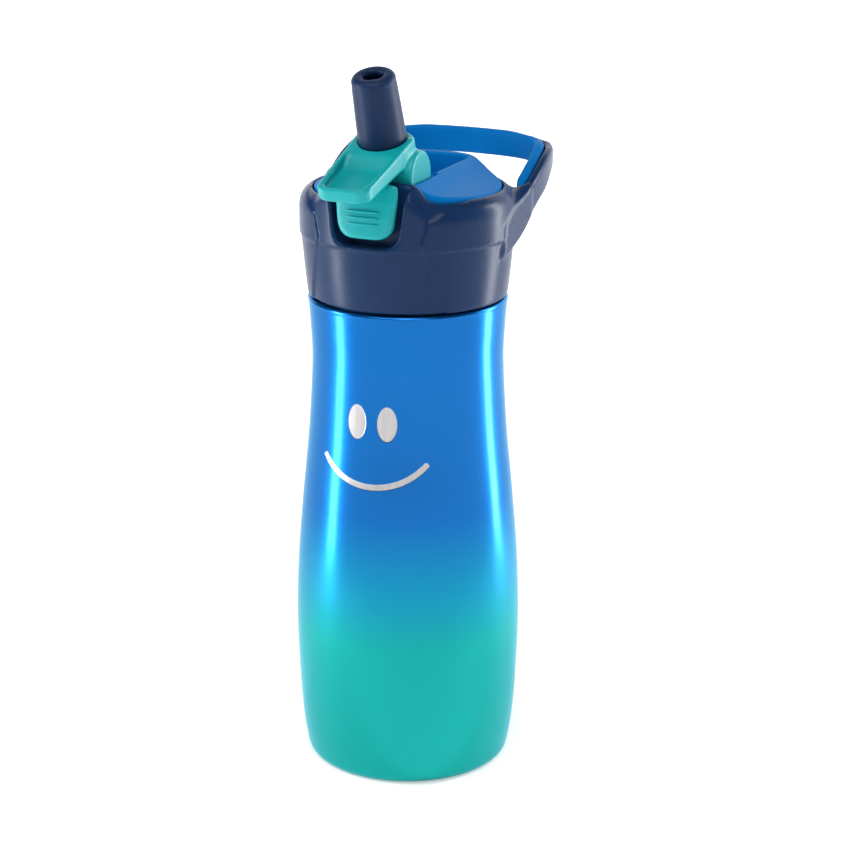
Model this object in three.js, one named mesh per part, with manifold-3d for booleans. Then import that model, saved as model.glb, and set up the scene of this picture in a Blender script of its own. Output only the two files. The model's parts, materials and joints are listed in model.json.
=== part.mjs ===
// Insulated steel water bottle for a child: screw lid with a flip spout, a push button and a fixed carry handle.
// Millimetres. +Z is up, the origin is the centre of the base, and the button faces -Y.

import * as THREE from 'three';
import { mergeVertices } from 'three/addons/utils/BufferGeometryUtils.js';
import Module from 'manifold-3d';

const wasm = await Module();
wasm.setup();

// Driving dimensions
const gap = 0.3; // clearance between neighbouring pieces
const turnSegments = 48; // facets round the bottle's axis
const wall = 0.6; // steel sheet
const vacuumGap = 2.9; // space between the two steel walls
const shoulderZ = 155.4; // top of the outer shell
const neckRadius = 25.2;
const mouthZ = 170.5; // lip of the neck
const lidRadius = 33.9; // lid at its widest
const lidInnerRadius = 29.6;
const crownRadius = 29.3;
const pocketHalfWidth = 10.5; // recess that the folded spout lies in
const pocketBackY = 25;
const pocketFloorZ = 187.8;
const towerBackY = -24.2; // rear face of the front panel that holds the button
const hinge = { y: -15.3, z: 196.5 }; // spout hinge, its axis along X
const spoutLean = THREE.MathUtils.degToRad(18.4); // open spout leans forward
const spoutFold = THREE.MathUtils.degToRad(108.4); // turn from open to lying in the pocket
const drumRadius = 7.6;
const drumHalfWidth = 10.6;
const drumCap = 0.5; // end caps on the drum
const bayHalfWidth = 11.7; // part of the crown's recess that the drum turns in
const portY = -13; // drinking port under the drum
const portBore = 3.2;
const seatTopZ = 188.7; // seal under the drum
const postRadius = 3; // hinge posts inside the ends of the drum
const postX = [8.9, 10.3]; // from the inner to the outer face of a post
const collarBackY = 7.4; // the spout's collar ends here behind, so it clears the seat when folded
const grip = { thickness: 3.6, bandThickness: 2.8, frontY: 15.5 }; // two layers of the handle

// Side view of the handle as [y, z], along its upper and lower edge
const handleTop = [[-6, 178], [4, 184.5], [15, 189.3], [27, 194.9], [42, 199.8], [47, 200.2], [56, 200.3]];
const handleFoot = [
  [-6, 170], [2, 172.2], [9, 175], [15, 179], [21.5, 182.6], [30, 186], [37, 189.6], [44, 191.6], [56, 191.8],
];

// Outline of the steel body as [height, radius]
const bodyOutline = [
  [4, 33.5], [12, 34.7], [25.6, 35.8], [47.3, 36.5], [68.9, 35.7], [90.6, 33.8],
  [112.2, 31.7], [133.9, 30.5], [146, 30.9], [154.4, 31.5],
];

// Arched top of the crown as [distance from the middle plane, height]
const crownTop = [[0, 195.9], [10.5, 195.4], [13, 194.6], [16, 193], [20, 191.8], [23, 191.2], [29.3, 190]];

const colours = {
  steel: { color: 0xb9bcc0, roughness: 0.35, metalness: 1 },
  lacquer: { color: 0x0fa0c8, roughness: 0.35, metalness: 0.3 },
  navy: { color: 0x101f4a, roughness: 0.4, metalness: 0 },
  blue: { color: 0x1266d8, roughness: 0.45, metalness: 0 },
  teal: { color: 0x19b8a6, roughness: 0.4, metalness: 0 },
  silicone: { color: 0xdfe6ea, roughness: 0.6, metalness: 0 },
};

const bottle = new THREE.Group();
bottle.name = 'water_bottle';

// --- Turning geometry into solids and back ---

function signedVolume(points, corners) {
  const [a, b, c] = [new THREE.Vector3(), new THREE.Vector3(), new THREE.Vector3()];
  let sum = 0;
  for (let i = 0; i < corners.length; i += 3) {
    a.fromArray(points, 3 * corners[i]);
    b.fromArray(points, 3 * corners[i + 1]);
    c.fromArray(points, 3 * corners[i + 2]);
    sum += a.dot(b.cross(c)) / 6;
  }
  return sum;
}

function solidOf(geometry) {
  const bare = new THREE.BufferGeometry();
  bare.setAttribute('position', geometry.getAttribute('position'));
  if (geometry.index) bare.setIndex(geometry.index);
  const merged = mergeVertices(bare, 1e-4);
  const points = merged.getAttribute('position').array;
  const corners = [];
  for (let i = 0; i < merged.index.count; i += 3) {
    const [a, b, c] = merged.index.array.slice(i, i + 3);
    if (a !== b && b !== c && c !== a) corners.push(a, b, c);
  }
  if (signedVolume(points, corners) < 0) corners.reverse();
  return new wasm.Manifold(new wasm.Mesh({
    numProp: 3,
    vertProperties: new Float32Array(points),
    triVerts: new Uint32Array(corners),
  }));
}

function add(name, solid, colour) {
  const { vertProperties, triVerts } = solid.getMesh();
  const geometry = new THREE.BufferGeometry();
  geometry.setAttribute('position', new THREE.BufferAttribute(vertProperties, 3));
  geometry.setIndex(new THREE.BufferAttribute(triVerts, 1));
  geometry.computeVertexNormals();
  const mesh = new THREE.Mesh(geometry, new THREE.MeshStandardMaterial(colours[colour]));
  mesh.name = name;
  bottle.add(mesh);
}

// --- Basic shapes ---

// Turns [radius, height] points round a vertical axis at (0, y).
function revolve(points, { y = 0, segments = turnSegments } = {}) {
  const closed = points[0][0] === 0 ? points : [...points, points[0]];
  const geometry = new THREE.LatheGeometry(closed.map(([r, z]) => new THREE.Vector2(r, z)), segments);
  geometry.rotateX(Math.PI / 2);
  geometry.translate(0, y, 0);
  return solidOf(geometry);
}

function tube(outer, inner, z0, z1, options) {
  return revolve([[outer, z0], [outer, z1], [inner, z1], [inner, z0]], options);
}

function extrude(shape, depth, axes, origin, curveSegments = 8) {
  const geometry = new THREE.ExtrudeGeometry(shape, { depth, bevelEnabled: false, curveSegments });
  geometry.applyMatrix4(new THREE.Matrix4().makeBasis(...axes).setPosition(origin));
  return solidOf(geometry);
}

const [alongX, alongY, alongZ] = [[1, 0, 0], [0, 1, 0], [0, 0, 1]].map((v) => new THREE.Vector3(...v));

// A shape drawn in (y, z), from x0 to x1.
function prismX(shape, x0, x1, curveSegments) {
  return extrude(shape, x1 - x0, [alongY, alongZ, alongX], new THREE.Vector3(x0, 0, 0), curveSegments);
}

// A shape drawn in (x, z), from y0 to y1.
function prismY(shape, y0, y1, curveSegments) {
  const axes = [alongX, alongZ, alongY.clone().negate()];
  return extrude(shape, y1 - y0, axes, new THREE.Vector3(0, y1, 0), curveSegments);
}

// A shape drawn in (x, y), from z0 to z1.
function prismZ(shape, z0, z1, curveSegments) {
  return extrude(shape, z1 - z0, [alongX, alongY, alongZ], new THREE.Vector3(0, 0, z0), curveSegments);
}

function box(x0, x1, y0, y1, z0, z1) {
  const geometry = new THREE.BoxGeometry(x1 - x0, y1 - y0, z1 - z0);
  geometry.translate((x0 + x1) / 2, (y0 + y1) / 2, (z0 + z1) / 2);
  return solidOf(geometry);
}

// A round bar along X through (y, z).
function barX(radius, x0, x1, { y, z } = hinge, segments = 32) {
  const geometry = new THREE.CylinderGeometry(radius, radius, x1 - x0, segments);
  geometry.rotateZ(Math.PI / 2);
  geometry.translate((x0 + x1) / 2, y, z);
  return solidOf(geometry);
}

// A wire of round section along a coil; place(angle, t) gives its centre line.
class Coil extends THREE.Curve {
  constructor(turns, place) {
    super();
    Object.assign(this, { turns, place });
  }

  getPoint(t, target = new THREE.Vector3()) {
    return target.copy(this.place(2 * Math.PI * this.turns * t, t));
  }
}

function wireCoil(radius, turns, stepsPerTurn, place) {
  const section = new THREE.Shape().absarc(0, 0, radius, 0, 2 * Math.PI);
  return solidOf(new THREE.ExtrudeGeometry(section, {
    extrudePath: new Coil(turns, place),
    steps: Math.round(turns * stepsPerTurn),
    curveSegments: 3,
    bevelEnabled: false,
  }));
}

function polygon(points) {
  return new THREE.Shape(points.map(([u, v]) => new THREE.Vector2(u, v)));
}

// A strap of even thickness to the left of a plan curve, as a closed shape.
function strap(curve, from, to, steps = 28) {
  const side = (offset) => Array.from({ length: steps + 1 }, (_, i) => {
    const point = curve.getPoint(i / steps);
    const tangent = curve.getTangent(i / steps);
    return new THREE.Vector2(point.x - offset * tangent.y, point.y + offset * tangent.x);
  });
  return new THREE.Shape([...side(from), ...side(to).reverse()]);
}

// --- Steel flask ---

const bodyCurve = new THREE.SplineCurve(bodyOutline.map(([z, r]) => new THREE.Vector2(r, z)));
const bodyPoints = bodyCurve.getPoints(11).map(({ x, y }) => [x, y]);

function flask() {
  const footRadius = 27.3;
  const inside = bodyPoints.map(([r, z]) => [r - wall, z]).reverse();
  add('outer_shell', revolve([
    [footRadius, 0], [29.4, 0], [31.4, 0.5], [32.7, 1.8],
    ...bodyPoints,
    [31.1, 155.1], [30.5, shoulderZ], [neckRadius + gap, shoulderZ],
    [neckRadius + gap, shoulderZ - wall],
    ...inside,
    [31.7, 2.4], [30.9, 1.3], [29.4, wall], [footRadius, wall],
  ]), 'lacquer');

  const sealRadius = 6;
  add('base_plate', revolve([
    [0, 1.3], [sealRadius, 1.3], [sealRadius, 0], [footRadius - gap, 0], [footRadius - gap, 1.1],
    [sealRadius + 0.9, 1.1], [sealRadius + 0.9, 2.2], [0, 2.2],
  ]), 'steel');
  add('vacuum_seal_disc', revolve([[0, 0], [sealRadius - gap, 0], [sealRadius - gap, 1], [0, 1]]), 'steel');

  const bottomZ = 5;
  const linerOffset = wall + vacuumGap;
  const linerPoints = bodyPoints.filter(([, z]) => z > 12 && z < 147).map(([r, z]) => [r - linerOffset, z]);
  const linerInside = linerPoints.map(([r, z]) => [r - wall, z]).reverse();
  const cup = revolve([
    [0, bottomZ], [26, bottomZ], [29, bottomZ + 1.2],
    ...linerPoints,
    [27.2, 148.5], [neckRadius, 152.5], [neckRadius, mouthZ - 0.5], [neckRadius - 0.4, mouthZ],
    [neckRadius - wall, mouthZ], [neckRadius - wall, 152.3], [26.3, 148.1],
    ...linerInside,
    [28.3, bottomZ + 2.1], [25.8, bottomZ + wall], [0, bottomZ + wall],
  ]);
  add('inner_flask', cup.add(thread(neckRadius + 0.2, 160)), 'steel');
}

// A rounded thread ridge of one and a half turns on a wall.
function thread(radius, z0) {
  const pitch = 4;
  const turns = 1.5;
  return wireCoil(0.8, turns, 20, (angle, t) => new THREE.Vector3(
    radius * Math.cos(angle),
    radius * Math.sin(angle),
    z0 + pitch * turns * t,
  ));
}

// --- Lid ---

const lidOutline = [
  [31.3, 155.8], [31.8, 160], [32.8, 170], [33.3, 175.2], [lidRadius, 176.2],
  [lidRadius, 181], [33.5, 184.5], [32.4, 187.6], [31, 189.6], [lidInnerRadius, 190.2],
];

// Front panel's own outline, which stands higher than the rest of the rim.
const panelOutline = [
  [0, 174.8], [33.2, 174.8], [lidRadius, 176.2], [lidRadius, 181], [33.7, 186], [33, 191],
  [31.8, 194.3], [30.4, 195.6], [0, 195.6],
];

function buttonShape(margin) {
  const [top, bottom] = [11 + margin, 8.6 + margin];
  const [topZ, bottomZ] = [197 + 10 * margin, 179.4 - 1.7 * margin];
  const corner = 2.6;
  const shape = new THREE.Shape();
  shape.moveTo(top, topZ);
  shape.lineTo(-top, topZ);
  shape.lineTo(-bottom - 0.3, bottomZ + corner);
  shape.quadraticCurveTo(-bottom, bottomZ, -bottom + corner, bottomZ);
  shape.lineTo(bottom - corner, bottomZ);
  shape.quadraticCurveTo(bottom, bottomZ, bottom + 0.3, bottomZ + corner);
  return shape;
}

const pawlWindow = { halfWidth: 8.2, z0: 187.4, z1: 190.2 };
const springSeat = { z: 182.4, radius: 3.1, y: -25.4 };
const buttonBackY = -29.8;
const buttonPocketY = -27.2;

// Front view of a raised part of the rim.
function shoulders(topZ) {
  const shape = new THREE.Shape();
  shape.moveTo(-22, 174.8);
  shape.lineTo(-22, 186);
  shape.bezierCurveTo(-17.5, 189, -15.5, topZ, -11.8, topZ);
  shape.lineTo(11.8, topZ);
  shape.bezierCurveTo(15.5, topZ, 17.5, 189, 22, 186);
  shape.lineTo(22, 174.8);
  return shape;
}

function lidShell() {
  const ring = revolve([...lidOutline, [lidInnerRadius, 155.8]]);
  const frontPanel = prismY(shoulders(195.6), -36, towerBackY).intersect(revolve(panelOutline));
  const rearPanel = prismY(shoulders(194), 15, 36).intersect(revolve(panelOutline))
    .subtract(revolve([[0, 170], [lidInnerRadius, 170], [lidInnerRadius, 200], [0, 200]]));
  const springHole = new THREE.Shape().absarc(0, springSeat.z, springSeat.radius, 0, 2 * Math.PI);
  const { halfWidth, z0, z1 } = pawlWindow;
  const shell = ring.add(frontPanel).add(rearPanel)
    .subtract(prismY(buttonShape(1.5), -40, buttonPocketY))
    .subtract(box(-halfWidth, halfWidth, -32, -20, z0, z1))
    .subtract(prismY(springHole, -30, springSeat.y));
  return shell;
}

function lidCore() {
  const deckZ = [172.2, 174.4];
  const liner = tube(crownRadius, 27.9, 158, deckZ[0] + 0.4)
    .add(tube(crownRadius, 1, deckZ[0], deckZ[1]))
    .add(revolve([[0, deckZ[0]], [1.5, deckZ[0]], [1.5, deckZ[1]], [0, deckZ[1]]]))
    .add(thread(27.9, 159.6))
    .add(tube(6.2, portBore - 0.4, deckZ[1] - 0.4, 184.2, { y: portY, segments: 24 }));
  const portHole = revolve([[0, 170], [portBore, 170], [portBore, 186], [0, 186]], { y: portY, segments: 24 });
  const ventHole = revolve([[0, 170], [2.1, 170], [2.1, 176], [0, 176]], { y: 12, segments: 24 });
  add('lid_core', liner.subtract(portHole).subtract(ventHole), 'silicone');

  add('lid_gasket', tube(26.2, 23.4, mouthZ + gap, deckZ[0] - gap), 'silicone');
  add('vent_valve', revolve([
    [0, 171], [4.6, 171], [4.6, 171.7], [1.8, 171.9], [1.8, 174.7], [3.2, 174.9], [2.2, 176.4], [0, 176.4],
  ], { y: 12, segments: 24 }), 'silicone');
  add('straw_adapter', revolve([
    [3.9, 158], [5.4, 158], [5.6, 170.4], [7.2, 170.6], [7.2, 171.9], [3.9, 171.9],
  ], { y: portY, segments: 24 }), 'silicone');
  add('straw', tube(3.6, 2.7, 9, 171.6, { y: portY, segments: 16 }), 'silicone');
}

function crown() {
  const skin = 2;
  const trayZ = 184.8;
  const arch = (drop) => {
    const half = crownTop.map(([x, z]) => [x, z - drop]);
    const mirrored = half.slice(1).map(([x, z]) => [-x, z]).reverse();
    return prismY(polygon([[-crownRadius, trayZ - drop], ...mirrored, ...half, [crownRadius, trayZ - drop]]), -30, 30);
  };
  const round = (radius) => revolve([[0, 180], [radius, 180], [radius, 200], [0, 200]]);
  const outer = arch(0).intersect(round(crownRadius));
  const tray = box(-bayHalfWidth - skin, bayHalfWidth + skin, -30, pocketBackY + skin, 180, 200);
  const hollow = arch(skin).intersect(round(crownRadius - skin)).subtract(tray);
  const bayBackY = hinge.y + 11;
  const bayFloorZ = 186.9;
  const solid = outer
    .subtract(hollow)
    .subtract(box(-40, 40, -40, towerBackY + gap, 180, 200))
    .subtract(box(-pocketHalfWidth, pocketHalfWidth, -40, pocketBackY, pocketFloorZ, 200))
    .subtract(box(-bayHalfWidth, bayHalfWidth, -40, bayBackY, bayFloorZ, 200))
    .subtract(revolve([[0, 180], [6.2, 180], [6.2, 190], [0, 190]], { y: portY, segments: 24 }));
  const postSlot = (side) => {
    const [near, far] = [side * (postX[0] - gap), side * (postX[1] + gap)].sort((a, b) => a - b);
    return box(near, far, hinge.y - postRadius - gap, hinge.y + postRadius + gap, 180, 190);
  };
  add('crown_insert', solid.subtract(postSlot(1)).subtract(postSlot(-1)), 'blue');

  const seat = tube(5.6, portBore, 184.5, seatTopZ, { y: portY, segments: 24 });
  add('spout_seat', seat.subtract(barX(drumRadius + gap, -20, 20)), 'silicone');
}

// Posts that stand inside the drum's hollowed ends and carry its two pins.
function hingePosts() {
  const post = new THREE.Shape();
  const footZ = 174.7;
  post.moveTo(hinge.y - postRadius, footZ);
  post.lineTo(hinge.y + postRadius, footZ);
  post.absarc(hinge.y, hinge.z, postRadius, 0, Math.PI);
  for (const [name, side] of [['left', -1], ['right', 1]]) {
    const span = (near, far) => [side * near, side * far].sort((a, b) => a - b);
    const hole = barX(1.5, ...span(5, 14), hinge, 20);
    add(`hinge_post_${name}`, prismX(post, ...span(...postX)).subtract(hole), 'teal');
    add(`hinge_pin_${name}`, barX(1.2, ...span(5.7, postX[1] - 0.1), hinge, 20), 'steel');
  }
  add('torsion_spring', wireCoil(0.3, 3, 10, (angle, t) => new THREE.Vector3(
    -7.9 + 1.8 * t,
    hinge.y + 2.1 * Math.cos(angle),
    hinge.z + 2.1 * Math.sin(angle),
  )), 'steel');
}

// --- Handle ---

// Plan curve of the handle's inner face, from the right-hand root round the back to the left.
function handleCurve() {
  const path = new THREE.CurvePath();
  const at = (x, y) => new THREE.Vector2(x, y);
  path.add(new THREE.CubicBezierCurve(at(27.2, -1), at(29, 14), at(29.9, 26), at(27.5, 38)));
  path.add(new THREE.CubicBezierCurve(at(27.5, 38), at(25.8, 45), at(20, 46.3), at(0, 46.9)));
  path.add(new THREE.CubicBezierCurve(at(0, 46.9), at(-20, 46.3), at(-25.8, 45), at(-27.5, 38)));
  path.add(new THREE.CubicBezierCurve(at(-27.5, 38), at(-29.9, 26), at(-29, 14), at(-27.2, -1)));
  return path;
}

function handle() {
  const curve = handleCurve();
  const profile = prismX(polygon([...handleFoot, ...[...handleTop].reverse()]), -60, 60);
  const lidSpace = revolve([[0, 150], ...lidOutline.map(([r, z]) => [r + gap, z]), [29, 200], [0, 200]]);
  const outerLayer = prismZ(strap(curve, -grip.bandThickness - grip.thickness, -grip.thickness), 150, 210);
  add('carry_handle', outerLayer.intersect(profile).subtract(lidSpace), 'navy');

  const innerLayer = prismZ(strap(curve, gap - grip.thickness, 0), 150, 210);
  const behindLid = box(-60, 60, grip.frontY, 60, 150, 210);
  add('handle_grip', innerLayer.intersect(profile).intersect(behindLid).subtract(lidSpace), 'blue');
}

// --- Spout, drawn upright at its hinge and then leaned forward ---

const lean = new THREE.Matrix4()
  .makeTranslation(0, hinge.y, hinge.z)
  .multiply(new THREE.Matrix4().makeRotationX(spoutLean));

function placeSpout(solid) {
  return solid.transform(lean.toArray());
}

function spout() {
  const atHinge = { y: 0, z: 0 };
  const bore = 4.8;
  const drum = barX(drumRadius, -drumHalfWidth, drumHalfWidth, atHinge);
  const collar = revolve([[0, 0], [8.2, 0], [8.2, 9.6], [7.2, 10.6], [0, 10.6]], { segments: 32 })
    .subtract(box(-9, 9, collarBackY, 12, 1, 12));

  const tray = new THREE.Shape(); // side view in (y, z), forward is -y
  tray.moveTo(0, 7.5);
  tray.lineTo(-6, 11);
  tray.lineTo(-31.5, 11.5);
  tray.quadraticCurveTo(-33, 9.5, -31.6, 6.8);
  tray.lineTo(-8, 5.4);
  tray.lineTo(0, -4);
  const plan = polygon([[-10.2, 4], [10.2, 4], [10.2, -8], [8.6, -32.6], [7.4, -34], [-7.4, -34], [-8.6, -32.6], [-10.2, -8]]);
  const recess = polygon([[-8.2, -9.4], [8.2, -9.4], [7, -31], [-7, -31]]);
  const lever = prismX(tray, -10.2, 10.2).intersect(prismZ(plan, -10, 20)).subtract(prismZ(recess, 8.4, 20));

  // Each end is cut away where its post stands at any angle of the fold.
  const reach = 12;
  const clear = postRadius + gap;
  const [foldedPost, openPost] = [spoutFold, 0].map((turn) => turn - Math.PI / 2 - spoutLean);
  const edge = Math.asin(clear / reach);
  const polar = (angle, radius) => [radius * Math.cos(angle), radius * Math.sin(angle)];
  const sector = new THREE.Shape();
  sector.moveTo(...polar(openPost - Math.PI / 2, clear));
  sector.lineTo(...polar(openPost - edge, reach));
  sector.absarc(0, 0, reach, openPost - edge, foldedPost + edge);
  sector.lineTo(...polar(foldedPost + Math.PI / 2, clear));
  const hollowEnd = (side) => {
    const [x0, x1] = [side * (postX[0] - gap), side * 12].sort((a, b) => a - b);
    const [p0, p1] = [side * 5.4, side * 12].sort((a, b) => a - b);
    return prismX(sector, x0, x1).add(barX(clear, x0, x1, atHinge)).add(barX(2.9, p0, p1, atHinge, 24));
  };
  const tooth = (side) => {
    const [x0, x1] = [side * 6.2, side * 7.9].sort((a, b) => a - b);
    const angle = THREE.MathUtils.degToRad(341.8) - spoutLean;
    const [c, s] = [Math.cos(angle), Math.sin(angle)];
    const rim = (along, across) => [along * c - across * s, along * s + across * c];
    return prismX(polygon([rim(6, -1.6), rim(8.6, -0.4), rim(8.6, 0.4), rim(6, 1.6)]), x0, x1);
  };
  const body = drum.add(collar).add(lever).add(tooth(1)).add(tooth(-1))
    .subtract(hollowEnd(1)).subtract(hollowEnd(-1))
    .subtract(revolve([[0, -12], [bore, -12], [bore, 10.8], [7.7, 10.8], [7.7, 20], [0, 20]], { segments: 24 }));
  add('spout_lever', placeSpout(body), 'teal');

  for (const [name, side] of [['left', -1], ['right', 1]]) {
    const near = drumHalfWidth + gap;
    const [x0, x1] = [side * near, side * (near + drumCap)].sort((a, b) => a - b);
    add(`drum_cap_${name}`, placeSpout(barX(drumRadius, x0, x1, atHinge)), 'teal');
  }

  add('spout_nozzle', placeSpout(tube(bore - gap, 3.1, -6, 30, { segments: 24 })), 'silicone');
  add('mouthpiece', placeSpout(revolve([
    [bore, 10.9], [7.3, 10.9], [7.4, 12], [6.9, 30.6], [6.4, 32.4], [5.2, 33.2], [3.6, 33.2], [3.1, 32.6],
    [3.1, 30.3], [bore, 30.3],
  ], { segments: 32 })), 'navy');
}

// --- Push button and its latch ---

function button() {
  const front = revolve([...panelOutline.slice(0, 6), [32.4, 197], [0, 197]]);
  const cap = prismY(buttonShape(0), -36, buttonBackY).intersect(front);
  const ridges = [184.2, 186, 187.8].map((z) => {
    const band = revolve([[0, z], [34.2, z], [34.2, z + 0.7], [0, z + 0.7]]);
    return band.intersect(box(-5.5, 5.5, -36, buttonBackY - 1, z - 1, z + 2));
  });
  add('push_button', ridges.reduce((solid, ridge) => solid.add(ridge), cap), 'teal');
  const pawl = box(-7.9, 7.9, buttonBackY + gap, -24.8, 187.8, 189.8)
    .add(box(-7.9, -6.2, -25, -23.4, 187.8, 189.8))
    .add(box(6.2, 7.9, -25, -23.4, 187.8, 189.8));
  add('latch_pawl', pawl, 'teal');
  const [springFrom, springTo] = [buttonBackY + 0.6, springSeat.y - 0.6];
  add('button_spring', wireCoil(0.3, 3.5, 10, (angle, t) => new THREE.Vector3(
    2.2 * Math.cos(angle),
    springFrom + (springTo - springFrom) * t,
    springSeat.z + 2.2 * Math.sin(angle),
  )), 'steel');
}

flask();
add('lid_shell', lidShell(), 'navy');
lidCore();
crown();
hingePosts();
handle();
spout();
button();

export default bottle;
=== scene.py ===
import json
import math

import bmesh
import bpy
import numpy as np
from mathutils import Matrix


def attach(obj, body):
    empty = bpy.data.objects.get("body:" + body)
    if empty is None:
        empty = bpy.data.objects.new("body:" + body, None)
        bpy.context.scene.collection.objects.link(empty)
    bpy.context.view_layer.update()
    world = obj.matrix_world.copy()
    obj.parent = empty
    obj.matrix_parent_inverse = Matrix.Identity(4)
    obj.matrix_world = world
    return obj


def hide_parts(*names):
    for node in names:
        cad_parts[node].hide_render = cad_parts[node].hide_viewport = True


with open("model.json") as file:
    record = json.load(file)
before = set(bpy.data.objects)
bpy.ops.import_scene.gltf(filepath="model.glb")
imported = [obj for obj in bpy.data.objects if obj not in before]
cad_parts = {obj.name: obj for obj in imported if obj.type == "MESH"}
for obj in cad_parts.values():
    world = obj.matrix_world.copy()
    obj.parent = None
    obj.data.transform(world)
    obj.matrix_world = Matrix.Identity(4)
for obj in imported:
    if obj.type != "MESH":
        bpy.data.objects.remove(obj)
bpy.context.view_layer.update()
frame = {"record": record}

import openvdb
from mathutils import Matrix, Vector

# Looks of an insulated steel bottle for a child, in metres. The fields below are worked out in millimetres.

mm = 0.001
pi = math.pi

hinge = next(joint for joint in frame["record"]["behaviour"]["joints"] if joint["name"] == "spout_fold")
hingeAt = Vector(hinge["pos_m"]) / mm
portY = -13.0  # the drinking port, the straw and its collar stand here
leanAngle = math.radians(18.4)  # the open spout leans this far forward
leanPlace = Matrix.Translation(hingeAt) @ Matrix.Rotation(leanAngle, 4, "X")


class Wire:  # a socket that takes part in Python sums, which add Math nodes
    def __init__(self, tree, socket):
        self.tree, self.socket = tree, socket

    def maths(self, operation, *values):
        node = self.tree.nodes.new("ShaderNodeMath")
        node.operation = operation
        for entry, value in zip(node.inputs, values):
            feed(self.tree, entry, value)
        return Wire(self.tree, node.outputs[0])

    def __add__(self, other): return self.maths("ADD", self, other)
    def __radd__(self, other): return self.maths("ADD", other, self)
    def __sub__(self, other): return self.maths("SUBTRACT", self, other)
    def __rsub__(self, other): return self.maths("SUBTRACT", other, self)
    def __mul__(self, other): return self.maths("MULTIPLY", self, other)
    def __rmul__(self, other): return self.maths("MULTIPLY", other, self)
    def __truediv__(self, other): return self.maths("DIVIDE", self, other)
    def __rtruediv__(self, other): return self.maths("DIVIDE", other, self)

    def low(self, other): return self.maths("MINIMUM", self, other)
    def high(self, other): return self.maths("MAXIMUM", self, other)
    def size(self): return self.maths("ABSOLUTE", self)
    def root(self): return self.maths("SQRT", self)

    def step(self, start, end):  # 0 at start to 1 at end, smoothly
        node = self.tree.nodes.new("ShaderNodeMapRange")
        node.interpolation_type = "SMOOTHSTEP"
        for entry, value in zip(node.inputs, (self, start, end, 0.0, 1.0)):
            feed(self.tree, entry, value)
        return Wire(self.tree, node.outputs[0])


def feed(tree, entry, value):
    if isinstance(value, Wire):
        tree.links.new(value.socket, entry)
    else:
        entry.default_value = value


class Finish:  # one material on a Principled shader
    def __init__(self, name, **constants):
        self.material = bpy.data.materials.new(name)
        self.material.use_nodes = True
        self.tree = self.material.node_tree
        self.shader = self.tree.nodes["Principled BSDF"]
        self.set(**constants)
        self.place = self.node("ShaderNodeTexCoord", output=3)
        self.x, self.y, self.z = (self.node("ShaderNodeSeparateXYZ", None, {0: self.place}, i) for i in range(3))

    def set(self, **values):
        for name, value in values.items():
            entry = self.shader.inputs[name.replace("_", " ")]
            feed(self.tree, entry, value)

    def node(self, kind, settings=None, sockets=None, output=0):
        made = self.tree.nodes.new(kind)
        for key, value in (settings or {}).items():
            if key == "stops":
                ramp = made.color_ramp
                while len(ramp.elements) < len(value):
                    ramp.elements.new(0.5)
                for element, (position, colour) in zip(ramp.elements, value):
                    element.position = position
                    element.color = colour
            else:
                setattr(made, key, value)
        for key, value in (sockets or {}).items():
            feed(self.tree, made.inputs[key], value)
        return Wire(self.tree, made.outputs[output])

    def noise(self, scale, detail=2.0, stretch=(1, 1, 1)):
        place = self.node("ShaderNodeMapping", sockets={"Vector": self.place, "Scale": stretch})
        return self.node("ShaderNodeTexNoise", sockets={"Vector": place, "Scale": scale, "Detail": detail})

    def mix(self, factor, first, second):
        settings = {"data_type": "RGBA", "clamp_factor": True}
        return self.node("ShaderNodeMix", settings, {0: factor, 6: first, 7: second}, output=2)

    def bump(self, height, distance, strength=1.0, under=None):
        sockets = {"Height": height, "Distance": distance, "Strength": strength}
        if under:
            sockets["Normal"] = under
        return self.node("ShaderNodeBump", None, sockets)


def colour(red, green, blue):
    return (red, green, blue, 1.0)


lacquerLook = {
    "blue": colour(0.001, 0.135, 0.46), "mid": colour(0.001, 0.27, 0.45), "teal": colour(0.001, 0.36, 0.33),
    "blueZ": 0.090, "tealZ": 0.047, "metallic": 0.9, "roughness": 0.25,
}

smileLook = {  # all in metres on the unrolled front of the body
    "turn": math.radians(2.75), "eyeApart": 0.0051, "eyeZ": 0.121, "eyeHalfWidth": 0.0032, "eyeHalfHeight": 0.0055,
    "mouthZ": 0.108, "mouthHalfWidth": 0.0172, "mouthDrop": 0.0073, "mouthThick": 0.0019, "soft": 0.00012,
}


def smileMask(finish, look):
    angle = finish.x.maths("ARCTAN2", finish.x, 0 - finish.y)
    across = (angle - look["turn"]) * 0.0315
    edge = look["soft"]

    def oval(centre):
        u = (across - centre) / look["eyeHalfWidth"]
        v = (finish.z - look["eyeZ"]) / look["eyeHalfHeight"]
        return ((u * u + v * v).root() - 1) * look["eyeHalfWidth"]

    eyes = oval(-look["eyeApart"]).low(oval(look["eyeApart"]))
    half, drop, thick = look["mouthHalfWidth"], look["mouthDrop"], look["mouthThick"]
    radius = (half ** 2 + drop ** 2) / (2 * drop)
    rise = finish.z - (look["mouthZ"] - drop + radius)
    ring = ((across * across + rise * rise).root() - radius).size() - thick / 2
    arc = ring.high(finish.z - look["mouthZ"])
    side = across.size() - half
    end = finish.z - look["mouthZ"]
    cap = (side * side + end * end).root() - thick / 2
    outline = eyes.low(arc.low(cap))
    inFront = (0 - finish.y).step(0.0, 0.001)
    return (1 - outline.step(-edge, edge)) * inFront


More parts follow.
